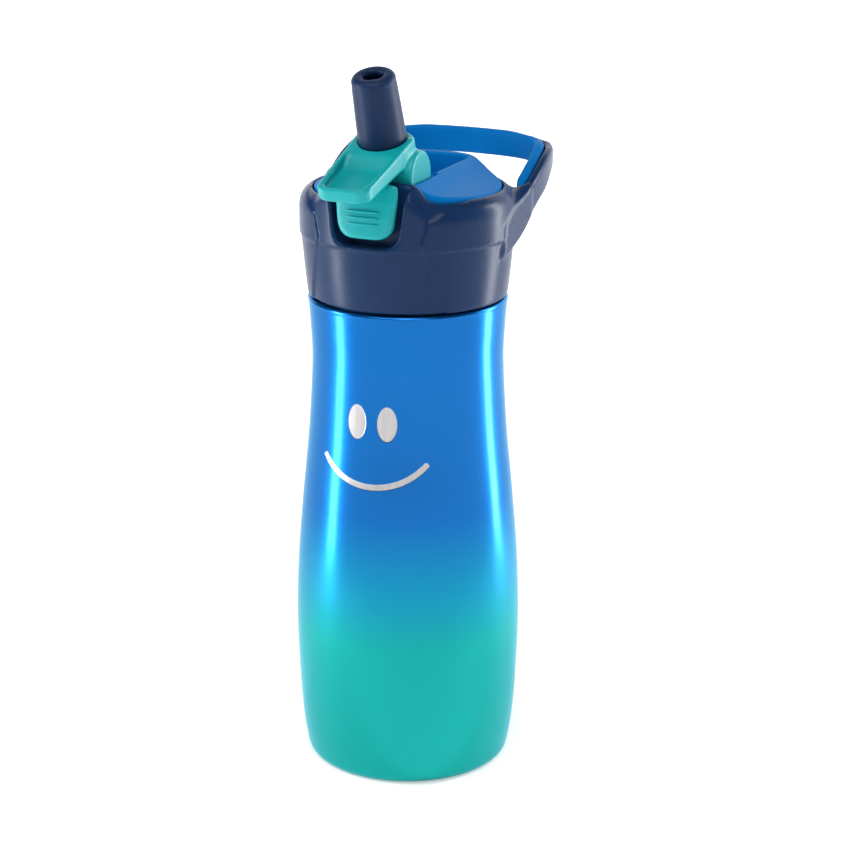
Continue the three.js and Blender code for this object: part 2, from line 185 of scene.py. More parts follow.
def lacquerFinish():
    look = lacquerLook
    finish = Finish("lacqueredSteel", IOR=1.4, Coat_Roughness=0.15, Coat_IOR=1.4, Specular_IOR_Level=0.3,
                    Specular_Tint=colour(0.2, 0.8, 1.0))
    height = (finish.z - look["tealZ"]) / (look["blueZ"] - look["tealZ"])
    stops = [(0.0, look["teal"]), (0.42, look["mid"]), (1.0, look["blue"])]
    paint = finish.node("ShaderNodeValToRGB", {"stops": stops}, {0: height})
    cloud = finish.noise(140.0, 3.0)
    paint = finish.mix(cloud.step(0.35, 0.75) * 0.012, paint, colour(0.0, 0.3, 0.6))
    mask = smileMask(finish, smileLook)
    streaks = finish.noise(900.0, 4.0, (1.0, 1.0, 0.06))
    steel = finish.mix(streaks, colour(0.45, 0.44, 0.44), colour(0.68, 0.66, 0.66))
    peel = finish.noise(420.0, 2.0)
    flake = finish.noise(5200.0, 1.0)
    finish.set(
        Base_Color=finish.mix(mask, paint, steel),
        Metallic=look["metallic"] + (1 - look["metallic"]) * mask,
        Roughness=look["roughness"] + (cloud - 0.5) * 0.02 + mask * 0.06,
        Coat_Weight=0.35 * (1 - mask),
    )
    relief = finish.bump(peel * 0.3 + flake * 0.1, 0.000012)
    brushed = finish.bump(streaks * mask, 0.00003, 0.6, relief)
    finish.set(Normal=finish.bump(1 - mask, 0.00008, 1.0, brushed))
    return finish.material


def plasticFinish(name, base, lighter, roughness, grain=2600.0, depth=0.000012, shine=0.2):
    finish = Finish(name, IOR=1.45, Specular_IOR_Level=shine)
    blotch = finish.noise(90.0, 3.0)
    fine = finish.noise(grain, 3.0)
    finish.set(
        Base_Color=finish.mix(blotch.step(0.35, 0.7) * 0.35, base, lighter),
        Roughness=roughness + (blotch - 0.5) * 0.08 + (fine - 0.5) * 0.06,
        Normal=finish.bump(fine + blotch * 0.4, depth),
    )
    return finish.material


def steelFinish(name, stretch, roughness=0.3, tint=colour(0.62, 0.63, 0.64)):
    finish = Finish(name)
    streaks = finish.noise(700.0, 4.0, stretch)
    smudge = finish.noise(60.0, 3.0)
    finish.set(
        Base_Color=finish.mix(streaks * 0.6, tint, colour(0.45, 0.46, 0.47)),
        Metallic=1.0,
        Roughness=roughness + (streaks - 0.5) * 0.16 + smudge * 0.08,
        Normal=finish.bump(streaks, 0.000012),
    )
    return finish.material


def clearFinish(name, base, roughness):
    finish = Finish(name, IOR=1.42, Subsurface_Weight=0.25, Subsurface_Radius=(0.003, 0.003, 0.003))
    haze = finish.noise(160.0, 3.0)
    finish.set(
        Base_Color=finish.mix(haze * 0.5, base, colour(0.62, 0.68, 0.70)),
        Roughness=roughness + (haze - 0.5) * 0.1,
        Normal=finish.bump(haze, 0.00001),
    )
    return finish.material


finishes = {
    "lacquer": lacquerFinish(),
    "navy": plasticFinish("navyPlastic", colour(0.006, 0.027, 0.090), colour(0.008, 0.033, 0.105), 0.28,
                          depth=0.000003, shine=0.22),
    "blue": plasticFinish("bluePlastic", colour(0.0, 0.160, 0.49), colour(0.0, 0.175, 0.53), 0.48, shine=0.06),
    "teal": plasticFinish("tealPlastic", colour(0.002, 0.38, 0.40), colour(0.004, 0.43, 0.45), 0.34, shine=0.4),
    "silicone": plasticFinish("navySilicone", colour(0.008, 0.026, 0.082), colour(0.010, 0.032, 0.095), 0.42,
                              grain=3200.0, shine=0.2),
    "clear": clearFinish("clearSilicone", colour(0.74, 0.79, 0.80), 0.42),
    "milky": clearFinish("milkyPlastic", colour(0.80, 0.83, 0.84), 0.35),
    "steel": steelFinish("brushedSteel", (1.0, 1.0, 0.05)),
    "turned": steelFinish("turnedSteel", (0.3, 0.3, 3.0), 0.26),
    "wire": steelFinish("springWire", (1.0, 1.0, 1.0), 0.22, colour(0.55, 0.56, 0.58)),
}
print("finishes made")


def newObject(name, mesh):
    piece = bpy.data.objects.new(name, mesh)
    bpy.context.scene.collection.objects.link(piece)
    return piece


def faceOutward(mesh):
    shell = bmesh.new()
    shell.from_mesh(mesh)
    bmesh.ops.remove_doubles(shell, verts=shell.verts, dist=1e-7)
    loose = [vert for vert in shell.verts if not vert.link_faces]
    bmesh.ops.delete(shell, geom=loose, context="VERTS")
    bmesh.ops.recalc_face_normals(shell, faces=shell.faces)
    shell.to_mesh(mesh)
    shell.free()


def fixed(piece):  # the evaluated shape becomes the object's own mesh, without modifiers
    graph = bpy.context.evaluated_depsgraph_get()
    mesh = bpy.data.meshes.new_from_object(piece.evaluated_get(graph))
    piece.modifiers.clear()
    piece.data = mesh
    faceOutward(mesh)
    return piece


def settle(piece, body, slot, finish, *nodes):
    if not piece.data.materials:
        piece.data.materials.append(finishes[finish])
    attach(piece, body)
    if nodes:
        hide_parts(*nodes)
    return piece


def treeWith(name, inputs):
    tree = bpy.data.node_groups.new(name, "GeometryNodeTree")
    tree.interface.new_socket("Geometry", in_out="INPUT", socket_type="NodeSocketGeometry")
    for label, kind in inputs.items():
        tree.interface.new_socket(label, in_out="INPUT", socket_type="NodeSocket" + kind)
    tree.interface.new_socket("Geometry", in_out="OUTPUT", socket_type="NodeSocketGeometry")
    return tree, tree.nodes.new("NodeGroupInput"), tree.nodes.new("NodeGroupOutput")


def join(tree, start, startName, end, endName):
    tree.links.new(start.outputs[startName], end.inputs[endName])


def closeTree(tree, enter, leave, last, lastName):  # every tree ends the same way
    smooth = tree.nodes.new("GeometryNodeSetShadeSmooth")
    real = tree.nodes.new("GeometryNodeRealizeInstances")
    dress = tree.nodes.new("GeometryNodeSetMaterial")
    join(tree, last, lastName, smooth, "Geometry")
    join(tree, smooth, "Geometry", real, "Geometry")
    join(tree, real, "Geometry", dress, "Geometry")
    join(tree, enter, "Finish", dress, "Material")
    join(tree, dress, "Geometry", leave, "Geometry")


def revolveTree():  # turns the outline round a circle, so an outline that starts on the axis closes there
    inputs = {"Path Radius": "Float", "Segments": "Int", "Finish": "Material"}
    tree, enter, leave = treeWith("revolvedOutline", inputs)
    outline = tree.nodes.new("GeometryNodeMeshToCurve")
    circle = tree.nodes.new("GeometryNodeCurvePrimitiveCircle")
    sweep = tree.nodes.new("GeometryNodeCurveToMesh")
    merge = tree.nodes.new("GeometryNodeMergeByDistance")
    merge.inputs["Distance"].default_value = 2e-6
    join(tree, enter, "Geometry", outline, "Mesh")
    join(tree, enter, "Segments", circle, "Resolution")
    join(tree, enter, "Path Radius", circle, "Radius")
    join(tree, circle, "Curve", sweep, "Curve")
    join(tree, outline, "Curve", sweep, "Profile Curve")
    join(tree, sweep, "Mesh", merge, "Geometry")
    closeTree(tree, enter, leave, merge, "Geometry")
    return tree


def coilTree():  # a round wire along a spiral that climbs at an even pitch
    inputs = {"Turns": "Float", "Radius": "Float", "Height": "Float", "Wire Radius": "Float", "Steps": "Int",
              "Finish": "Material"}
    tree, enter, leave = treeWith("wireCoil", inputs)
    spiral = tree.nodes.new("GeometryNodeCurveSpiral")
    section = tree.nodes.new("GeometryNodeCurvePrimitiveCircle")
    section.inputs["Resolution"].default_value = 12
    sweep = tree.nodes.new("GeometryNodeCurveToMesh")
    sweep.inputs["Fill Caps"].default_value = True
    for start, end in (("Turns", "Rotations"), ("Radius", "Start Radius"), ("Radius", "End Radius"),
                       ("Height", "Height"), ("Steps", "Resolution")):
        join(tree, enter, start, spiral, end)
    join(tree, enter, "Wire Radius", section, "Radius")
    join(tree, spiral, "Curve", sweep, "Curve")
    join(tree, section, "Curve", sweep, "Profile Curve")
    closeTree(tree, enter, leave, sweep, "Mesh")
    return tree


def ribTree():  # one rounded rib repeated up a line
    inputs = {"Count": "Int", "Pitch": "Float", "Finish": "Material"}
    tree, enter, leave = treeWith("ribRow", inputs)
    line = tree.nodes.new("GeometryNodeMeshLine")
    climb = tree.nodes.new("ShaderNodeCombineXYZ")
    rib = tree.nodes.new("GeometryNodeInstanceOnPoints")
    join(tree, enter, "Count", line, "Count")
    join(tree, enter, "Pitch", climb, "Z")
    join(tree, climb, "Vector", line, "Offset")
    join(tree, line, "Mesh", rib, "Points")
    join(tree, enter, "Geometry", rib, "Instance")
    closeTree(tree, enter, leave, rib, "Instances")
    return tree


def applyTree(piece, tree, **values):
    modifier = piece.modifiers.new(tree.name, "NODES")
    modifier.node_group = tree
    for item in tree.interface.items_tree:
        key = item.name.replace(" ", "")
        if item.in_out == "INPUT" and key in values:
            modifier[item.identifier] = values[key]
    return fixed(piece)


trees = {"revolve": revolveTree(), "coil": coilTree(), "ribs": ribTree()}


def revolved(name, points, finish, centreY=0.0, segments=160, place=None):
    pathRadius = 30.0
    onAxis = points[0][0] == 0
    count = len(points)
    verts = [((r - pathRadius) * mm, -z * mm, 0) for r, z in points]
    edges = [(i, i + 1) for i in range(count - 1)] + ([] if onAxis else [(count - 1, 0)])
    mesh = bpy.data.meshes.new(name)
    mesh.from_pydata(verts, edges, [])
    piece = newObject(name, mesh)
    applyTree(piece, trees["revolve"], PathRadius=pathRadius * mm, Segments=segments, Finish=finishes[finish])
    shift = Matrix.Translation((0, centreY * mm, 0))
    piece.data.transform(metres(place) @ shift if place else shift)
    return piece


def metres(matrix):  # a placing matrix in millimetres, in metres
    scaled = matrix.copy()
    scaled.translation = scaled.translation * mm
    return scaled


def arc(centre, radius, start, end, count=8):  # points of a round stretch, angles in degrees
    angles = np.radians(np.linspace(start, end, count))
    return [(centre[0] + radius * math.cos(a), centre[1] + radius * math.sin(a)) for a in angles]


def curveThrough(points, count=120):  # a smooth curve through the points, as dense points
    points = np.array(points, dtype=float)
    padded = np.vstack([2 * points[0] - points[1], points, 2 * points[-1] - points[-2]])
    dense = []
    for u in np.linspace(0, len(points) - 1, count):
        i = min(int(u), len(points) - 2)
        t = u - i
        a, b, c, d = padded[i:i + 4]
        dense.append(b + 0.5 * t * (c - a + t * (2 * a - 5 * b + 4 * c - d + t * (3 * (b - c) + d - a))))
    return np.array(dense)


def blendMin(a, b, soft):
    near = np.maximum(soft - np.abs(a - b), 0) / soft
    return np.minimum(a, b) - near * near * soft / 4


def blendMax(a, b, soft):
    return -blendMin(-a, -b, soft)


def ease(value):  # 0 to 1, smoothly
    value = np.clip(value, 0, 1)
    return value * value * (3 - 2 * value)


def sampleSpace(low, high, step):
    axes = [np.arange(a, b + step, step, dtype=np.float32) for a, b in zip(low, high)]
    return np.meshgrid(*axes, indexing="ij", sparse=True)


def solidFrom(name, field, low, step, finish, place=None, smoothing=2):
    reach = 3 * step
    values = np.clip(np.ascontiguousarray(field, dtype=np.float32), -reach, reach)
    grid = openvdb.FloatGrid(reach)
    grid.copyFromArray(values)
    points, quads = grid.convertToQuads()
    points = points * step + np.array(low)
    mesh = bpy.data.meshes.new(name)
    mesh.from_pydata((points * mm).tolist(), [], quads.tolist())
    if place:
        mesh.transform(metres(place))
    mesh.shade_smooth()
    piece = newObject(name, mesh)
    soften = piece.modifiers.new("soften", "SMOOTH")
    soften.factor = 0.5
    soften.iterations = smoothing
    fixed(piece)
    piece.data.materials.append(finishes[finish])
    print(name, len(piece.data.polygons), "faces")
    return piece


flaskSizes = {
    "outline": [(33.5, 4), (34.7, 12), (35.75, 25.6), (36.4, 47.3), (35.65, 68.9), (33.8, 90.6), (31.7, 112.2),
                (30.5, 133.9), (30.9, 146), (31.5, 154.2)],
    "wall": 0.6, "vacuum": 2.9, "foot": 27.3, "shoulderZ": 155.4, "neck": 25.2, "mouthZ": 170.5,
    "corner": [(29.4, 0), (31.6, 0.5), (32.9, 1.9), (33.5, 4)],
    "plate": [(0, 1.3), (6, 1.3), (6, 0.2), (6.3, 0), (20, 0.0), (21, 0.25), (22, 0), (26.7, 0), (27, 0.3),
              (27, 1.1), (6.9, 1.1), (6.9, 2.2), (0, 2.2)],
    "seal": [(0, 0), (5.4, 0), (5.7, 0.3), (5.7, 1), (0, 1)],
}

threadSizes = {"radius": 25.35, "bottomZ": 160.0, "wire": 0.8, "turns": 1.5, "pitch": 4, "steps": 120}


def makeFlask(sizes):
    outline = curveThrough(sizes["outline"], 90)
    wall = sizes["wall"]
    outer = [tuple(point) for point in outline]
    inner = [(r - wall, z) for r, z in reversed(outer)]
    foot, top = sizes["foot"], sizes["shoulderZ"]
    corner = curveThrough(sizes["corner"], 12)
    shell = [(foot, 0.25), (foot + 0.25, 0)] + [tuple(p) for p in corner[:-1]] + outer
    shell += arc((30.7, top - 1), 1, 15, 90, 6) + [(sizes["neck"] + 0.3, top), (sizes["neck"] + 0.3, top - wall)]
    shell += inner + [(32.1, 2.3), (31, 1.1), (29.4, wall), (foot, wall)]
    piece = revolved("bodyShell", shell, "lacquer", segments=200)
    settle(piece, "flask", "lacquered_steel", "lacquer", "outer_shell")

    neck, mouth = sizes["neck"], sizes["mouthZ"]
    offset = wall + sizes["vacuum"]
    liner = [(r - offset, z) for r, z in outer if 12 < z < 147]
    cup = [(0, 5), (26, 5), (29, 6.2)] + liner + [(27.2, 148.5), (26, 150.6), (neck, 152.5)]
    cup += arc((neck - 0.35, mouth - 0.35), 0.35, 0, 180, 9)
    cup += [(neck - 0.7, 152.4), (25.5, 150.2), (26.6, 148.1)] + [(r - wall, z) for r, z in reversed(liner)]
    cup += [(28.5, 6.9), (25.8, 5.6), (0, 5.6)]
    piece = revolved("innerCup", cup, "steel", segments=160)
    settle(piece, "flask", "bare_steel", "steel", "inner_flask")


def makeThread(sizes):
    piece = newObject("neckThread", bpy.data.meshes.new("neckThread"))
    applyTree(piece, trees["coil"], Turns=sizes["turns"], Radius=sizes["radius"] * mm,
              Height=sizes["pitch"] * sizes["turns"] * mm, WireRadius=sizes["wire"] * mm, Steps=sizes["steps"],
              Finish=finishes["steel"])
    piece.data.transform(Matrix.Translation((0, 0, sizes["bottomZ"] * mm)))
    settle(piece, "flask", "bare_steel", "steel")


def makeUnderside(sizes):
    settle(revolved("basePlate", sizes["plate"], "turned"), "flask", "bare_steel", "turned", "base_plate")
    seal = revolved("vacuumSeal", sizes["seal"], "turned", segments=80)
    settle(seal, "flask", "bare_steel", "turned", "vacuum_seal_disc")


makeFlask(flaskSizes)
makeThread(threadSizes)
makeUnderside(flaskSizes)
print("flask made")


lidSizes = {
    "skirt": [(155.8, 30.85), (160, 31.35), (165, 31.9), (170, 32.35), (175, 32.85)], "upper": 33.4, "stepZ": 175.7,
    "inner": 29.6, "bottomZ": 155.8, "rimZ": 190.6, "panelZ": 195.9, "panelBack": -24.2, "shoulder": 7.0,
    "panelTop": 12.0, "panelFoot": 20.5, "rearZ": 194.0, "step": 0.5,
    "armEdge": [(156, 46), (162, 41), (168.8, 36.2), (177.5, 30), (184.8, 33.4), (187.6, 42), (190, 60)],
    "armProud": 0.6,
    "rootEndY": 15.5, "grooveRadius": 32.9, "grooveZ": 190.6, "groove": 1.5,
    "windowHalf": 8.2, "windowZ": 188.8, "windowHalfHeight": 1.4, "windowBack": -20,
    "springZ": 182.4, "springHole": 3.1, "springBack": -25.4, "springFront": -30,
}

handleSizes = {
    "root": (27.2, -1), "side": [(29.0, 14), (29.9, 26)], "corner": (27.4, 36.5),
    "turn": [(26.2, 43), (20.5, 46.2)], "back": (0, 46.9), "band": 2.8, "lining": 3.6, "gap": 0.15, "droop": 1.0, "frontY": 15.8, "lidClear": 34.3,
    "step": 0.35,
    "top": [(-6, 178), (4, 184.5), (15, 189.3), (27, 194.9), (42, 199.8), (47, 200.2), (56, 200.3)],
    "foot": [(-6, 170), (2, 172.2), (9, 175), (15, 179), (21.5, 182.6), (30, 186), (37, 189.6), (44, 191.6),
             (56, 191.8)],
}

buttonSizes = {
    "top": 11.0, "bottom": 8.6, "topZ": 197.0, "bottomZ": 179.4, "backY": -29.8, "pocketY": -27.2, "pocketGap": 1.6,
    "face": [(177, 33.9), (181, 33.9), (186, 33.75), (191, 33.15), (194.3, 32.3), (199, 30.8)], "step": 0.2,
}

ribSizes = {"radius": 33.85, "halfAngle": 9.5, "wire": 0.42, "firstZ": 184.2, "pitch": 1.9, "count": 3, "sides": 10}


def bezier(a, b, c, d, count=24):
    t = np.linspace(0, 1, count)[:, None]
    a, b, c, d = (np.array(point, dtype=float) for point in (a, b, c, d))
    return a * (1 - t) ** 3 + 3 * b * t * (1 - t) ** 2 + 3 * c * t ** 2 * (1 - t) + d * t ** 3


def handlePath(sizes, offset):  # plan curve of a handle layer, out from the inner face by the offset
    side = bezier(sizes["root"], *sizes["side"], sizes["corner"])
    turn = bezier(sizes["corner"], *sizes["turn"], sizes["back"])
    half = np.vstack([side, turn[1:]])
    path = np.vstack([half, half[-2::-1] * (-1, 1)])
    tangent = np.gradient(path, axis=0)
    tangent /= np.linalg.norm(tangent, axis=1)[:, None]
    return path + offset * np.column_stack([tangent[:, 1], -tangent[:, 0]])


def pathDistance(x, y, path):
    best = np.full(np.broadcast(x, y).shape, 1e9, dtype=np.float32)
    for (x0, y0), (x1, y1) in zip(path[:-1], path[1:]):
        dx, dy = x1 - x0, y1 - y0
        along = np.clip(((x - x0) * dx + (y - y0) * dy) / (dx * dx + dy * dy), 0, 1)
        best = np.minimum(best, (x - x0 - along * dx) ** 2 + (y - y0 - along * dy) ** 2)
    return np.sqrt(best)


def heightAlong(y, knots):
    dense = curveThrough(knots, 80)
    return np.interp(y, dense[:, 0], dense[:, 1])


def handleBand(x, y, z, offset, thickness, rounding=1.5, low=0.0):  # low brings the top edge down at the back
    flat = pathDistance(x, y, handlePath(handleSizes, offset)) - thickness / 2
    droop = handleSizes["droop"] * ease((np.abs(x) - 13) / 15) * ease((y - 36) / 8)
    upper = (z - heightAlong(y, handleSizes["top"]) + droop + low * ease((y - 30) / 10)) * 0.93
    lower = (heightAlong(y, handleSizes["foot"]) - z) * 0.90
    return blendMax(blendMax(flat, upper, rounding), lower, rounding)


def lidWall(x, y, z):  # the sides stand slightly proud behind a pointed edge
    dense = curveThrough(lidSizes["skirt"], 60)
    skirt = np.interp(z, dense[:, 0], dense[:, 1])
    wall = skirt + (lidSizes["upper"] - skirt) * ease((z - lidSizes["stepZ"] + 0.45) / 0.9)
    edge = np.interp(z, *zip(*lidSizes["armEdge"]))
    angle = np.degrees(np.arctan2(np.abs(x), -y))
    return wall + lidSizes["armProud"] * ease((angle - edge) / 1.2)


def buttonOutline(x, z, margin):
    topHalf, bottomHalf = buttonSizes["top"] + margin, buttonSizes["bottom"] + margin
    bottomZ = buttonSizes["bottomZ"] - margin * 1.7
    slope = (topHalf - bottomHalf) / (buttonSizes["topZ"] - buttonSizes["bottomZ"])
    sides = (np.abs(x) - bottomHalf - slope * (z - bottomZ)) * math.cos(math.atan(slope))
    return blendMax(sides, bottomZ - z, 5.0)


def makeLidShell(sizes):
    step = sizes["step"]
    low, high = (-37, -36, 154), (37, 54, 202)
    x, y, z = sampleSpace(low, high, step)
    radius = np.sqrt(x * x + y * y)
    raised = ease((sizes["panelFoot"] - np.abs(x)) / (sizes["panelFoot"] - sizes["panelTop"]))
    front, rear = ((sizes[key] - sizes["rimZ"]) * raised for key in ("panelZ", "rearZ"))
    top = sizes["rimZ"] + front * ease((-12 - y) / 8) + rear * ease((y - 12) / 8)
    body = blendMax(radius - lidWall(x, y, z), z - top, sizes["shoulder"])
    band = handleBand(x, y, z, handleSizes["lining"] + handleSizes["band"] / 2, handleSizes["band"], low=0.9)
    root = handleBand(x, y, z, handleSizes["lining"] - 1.0, handleSizes["band"] + 4, 2.5)
    root = blendMax(root, y - sizes["rootEndY"], 1.5)
    body = blendMin(blendMin(body, band, 2.2), root, 2.0)
    rimGroove = np.sqrt((radius - sizes["grooveRadius"]) ** 2 + (z - sizes["grooveZ"]) ** 2) - sizes["groove"]
    body = blendMax(body, -blendMax(rimGroove, 2 - y, 4), 1.0)
    beyond = np.maximum(y - sizes["panelBack"], 174.8 - z)
    hollow = np.maximum(radius - sizes["inner"], -beyond)
    body = blendMax(body, -hollow, 0.9)
    body = blendMax(body, sizes["bottomZ"] - z, 0.9)
    pocket = blendMax(buttonOutline(x, z, buttonSizes["pocketGap"]), y - buttonSizes["pocketY"], 0.8)
    body = blendMax(body, -pocket, 1.1)
    window = np.maximum(np.abs(x) - sizes["windowHalf"], np.abs(z - sizes["windowZ"]) - sizes["windowHalfHeight"])
    body = np.maximum(body, -np.maximum(window, y - sizes["windowBack"]))  # the pawl's way through the wall
    springHole = np.sqrt(x * x + (z - sizes["springZ"]) ** 2) - sizes["springHole"]
    springHole = np.maximum(springHole, y - sizes["springBack"])
    body = np.maximum(body, -np.maximum(springHole, sizes["springFront"] - y))
    piece = solidFrom("lidShell", body, low, step, "navy")
    settle(piece, "lid", "navy_plastic", "navy", "lid_shell", "carry_handle")


def makeHandleLining(sizes):
    low, high = (-34, 10, 184), (34, 52, 202)
    step = sizes["step"]
    x, y, z = sampleSpace(low, high, step)
    lining, gap = sizes["lining"], sizes["gap"]
    band = handleBand(x, y, z, lining / 2 - gap / 2, lining - gap, 1.4)
    lidSpace = np.sqrt(x * x + y * y) - sizes["lidClear"]
    band = blendMax(band, sizes["frontY"] - y, 0.8)
    band = blendMax(band, -lidSpace, 0.8)
    piece = solidFrom("handleLining", band, low, step, "blue")
    settle(piece, "lid", "blue_plastic", "blue", "handle_grip")


crownSizes = {
    "radius": 29.3, "bottomZ": 184.8, "frontY": -23.9, "pocketHalf": 10.5, "pocketBack": 25.0, "pocketFloor": 187.8,
    "arch": [(0, 195.9), (8, 195.8), (11.5, 195.3), (14, 194.2), (17, 192.7), (20, 191.7), (24, 191.0),
             (31, 190.0)],
    "bayFloor": 186.9, "bayBack": -4.3, "bayHalf": 11.7, "step": 0.4,
    "port": 6.1, "postX": 9.6, "postHalfX": 1.0, "postY": -15.3, "postHalfY": 3.4, "postTop": 190,
}


def makeCrown(sizes):
    step = sizes["step"]
    low, high = (-30, -26, 184), (30, 30.5, 198)
    x, y, z = sampleSpace(low, high, step)
    radius = np.sqrt(x * x + y * y)
    arch = curveThrough(sizes["arch"], 80)
    top = np.interp(np.abs(x), arch[:, 0], arch[:, 1])
    body = blendMax(radius - sizes["radius"], z - top, 1.2)
    body = blendMax(body, sizes["frontY"] - y, 1.0)
    body = blendMax(body, sizes["bottomZ"] - z, 0.8)
    plan = blendMax(np.abs(x) - sizes["pocketHalf"], y - sizes["pocketBack"], 3.0)
    pocket = blendMax(plan, sizes["pocketFloor"] - z, 1.6)
    bay = np.maximum(np.maximum(np.abs(x) - sizes["bayHalf"], y - sizes["bayBack"]), sizes["bayFloor"] - z)
    body = blendMax(body, -blendMin(pocket, bay, 0.3), 1.0)
    portHole = np.sqrt(x * x + (y - portY) ** 2) - sizes["port"]
    across = np.abs(np.abs(x) - sizes["postX"]) - sizes["postHalfX"]
    postSlot = np.maximum(np.maximum(across, np.abs(y - sizes["postY"]) - sizes["postHalfY"]), z - sizes["postTop"])
    body = np.maximum(np.maximum(body, -portHole), -postSlot)
    piece = solidFrom("crown", body, low, step, "blue")
    settle(piece, "lid", "blue_plastic", "blue", "crown_insert")


def makeButton(sizes):
    low, high = (-12.5, -36, 177), (12.5, -28, 199)
    step = sizes["step"]
    x, y, z = sampleSpace(low, high, step)
    radius = np.sqrt(x * x + y * y)
    face = np.interp(z, *zip(*sizes["face"]))
    body = blendMax(buttonOutline(x, z, 0), radius - face, 1.6)
    body = blendMax(body, y - sizes["backY"], 0.8)
    body = blendMax(body, z - sizes["topZ"], 2.0)
    piece = solidFrom("pushButton", body, low, step, "teal")
    settle(piece, "button", "teal_plastic", "teal", "push_button")


def makeRibs(sizes):  # one rib that fades at its ends, repeated by the tree
    sides, halfAngle, wire = sizes["sides"], math.radians(sizes["halfAngle"]), sizes["wire"]
    angles = np.radians(np.linspace(-sizes["halfAngle"], sizes["halfAngle"], 25))
    verts = []
    for angle in angles:
        fade = max(0.05, 1 - (abs(angle) / halfAngle) ** 6)
        for turn in np.linspace(0, 2 * pi, sides, endpoint=False):
            out = sizes["radius"] + wire * fade * math.cos(turn)
            verts.append((out * math.sin(angle) * mm, -out * math.cos(angle) * mm,
                          (sizes["firstZ"] + wire * fade * math.sin(turn)) * mm))
    last = (len(angles) - 1) * sides
    faces = [(i + j, i + (j + 1) % sides, i + sides + (j + 1) % sides, i + sides + j)
             for i in range(0, last, sides) for j in range(sides)]
    faces += [tuple(range(sides)), tuple(range(last, last + sides))]
    mesh = bpy.data.meshes.new("gripRibs")
    mesh.from_pydata(verts, [], faces)
    ribs = newObject("gripRibs", mesh)
    applyTree(ribs, trees["ribs"], Count=sizes["count"], Pitch=sizes["pitch"] * mm, Finish=finishes["teal"])
    settle(ribs, "button", "teal_plastic", "teal")


makeLidShell(lidSizes)
makeHandleLining(handleSizes)
makeCrown(crownSizes)
makeButton(buttonSizes)
makeRibs(ribSizes)
print("lid made")


insideOutlines = {  # radius and height pairs
    "gasket": [(23.4, 171.0), (23.7, 170.8), (25.9, 170.8), (26.2, 171.0), (26.2, 171.7), (25.9, 171.9),
               (23.7, 171.9), (23.4, 171.7)],
    "straw": [(2.7, 9), (3.6, 9), (3.6, 171.6), (2.7, 171.6)],
    "collar": [(3.9, 158), (5.2, 158), (5.4, 158.3), (5.5, 162), (6.0, 162.4), (6.0, 163.4), (5.5, 163.8),
               (5.6, 170.4), (7.2, 170.6), (7.2, 171.9), (3.9, 171.9)],
    "valve": [(0, 171), (4.3, 171), (4.6, 171.3), (4.5, 171.7), (1.8, 171.9), (1.8, 174.7), (3.2, 174.9),
              (2.2, 176.4), (0, 176.4)],
    "valveY": 12.0,
}


def makeLidInside(shapes):
    settle(revolved("gasketRing", shapes["gasket"], "clear"), "gasket", "clear_silicone", "clear", "lid_gasket")
    straw = revolved("drinkingStraw", shapes["straw"], "milky", portY, 48)
    settle(straw, "lid", "straw_plastic", "milky", "straw")
    collar = revolved("strawCollar", shapes["collar"], "clear", portY, 64)
    settle(collar, "lid", "clear_silicone", "clear", "straw_adapter")
    valve = revolved("airValve", shapes["valve"], "clear", shapes["valveY"], 64)
    settle(valve, "lid", "clear_silicone", "clear", "vent_valve")


def dressNodes(looks):  # CAD pieces that are shown as they are
    for name, finish in looks.items():
        node = bpy.data.objects[name]
        node.data.materials.clear()
        node.data.materials.append(finishes[finish])


makeLidInside(insideOutlines)
dressNodes({
    "lid_core": "milky", "spout_seat": "clear", "hinge_post_left": "teal", "hinge_post_right": "teal",
    "hinge_pin_left": "wire", "hinge_pin_right": "wire", "torsion_spring": "wire", "button_spring": "wire",
    "latch_pawl": "teal",
})


leverSizes = {
    "drum": 7.6, "drumHalf": 11.35, "sideHalf": 9.4, "frontHalf": 8.5, "frontT": 31.9, "rimN": 11.5, "floorN": 8.5,
    "rim": 1.7, "collar": 8.3, "collarN": 11.2, "bore": 4.8, "step": 0.25,
    "under": [(0, 3.0), (8, 5.4), (31, 6.9), (36, 7.2)], "seat": 7.7, "seatN": 10.8,
    "fold": math.radians(108.4), "postClear": 3.3, "postInner": 8.6, "postOuter": 10.7,
    "spring": 2.9, "springInner": 5.4,
}


def sideOf(angle, y, z):  # distance across a line through the hinge axis
    return y * math.cos(angle) + z * math.sin(angle)


